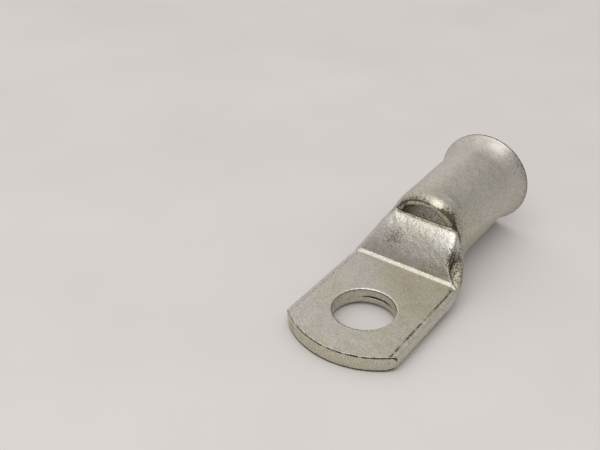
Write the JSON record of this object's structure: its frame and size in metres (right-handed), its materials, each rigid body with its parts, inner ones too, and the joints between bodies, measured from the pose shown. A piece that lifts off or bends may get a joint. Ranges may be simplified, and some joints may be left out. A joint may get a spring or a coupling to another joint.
{
  "type": "cable lug",
  "caption": "Tubular crimp cable lug: a tube pressed flat into a palm with a stud hole, a ramped neck with an inspection window, a round barrel and a flared mouth.",
  "frame": {"origin": "centre of the stud hole, on the underside of the palm", "axes": "+X along the lug from the palm towards the barrel's mouth; +Y across the palm; +Z out of the palm on the side where the barrel and the window stand"},
  "size_m": [0.0547, 0.021, 0.0174],
  "materials": {
    "tin_plate": "satin"
  },
  "bodies": {
    "root": {"lug": "tin_plate"}
  },
  "joints": []
}
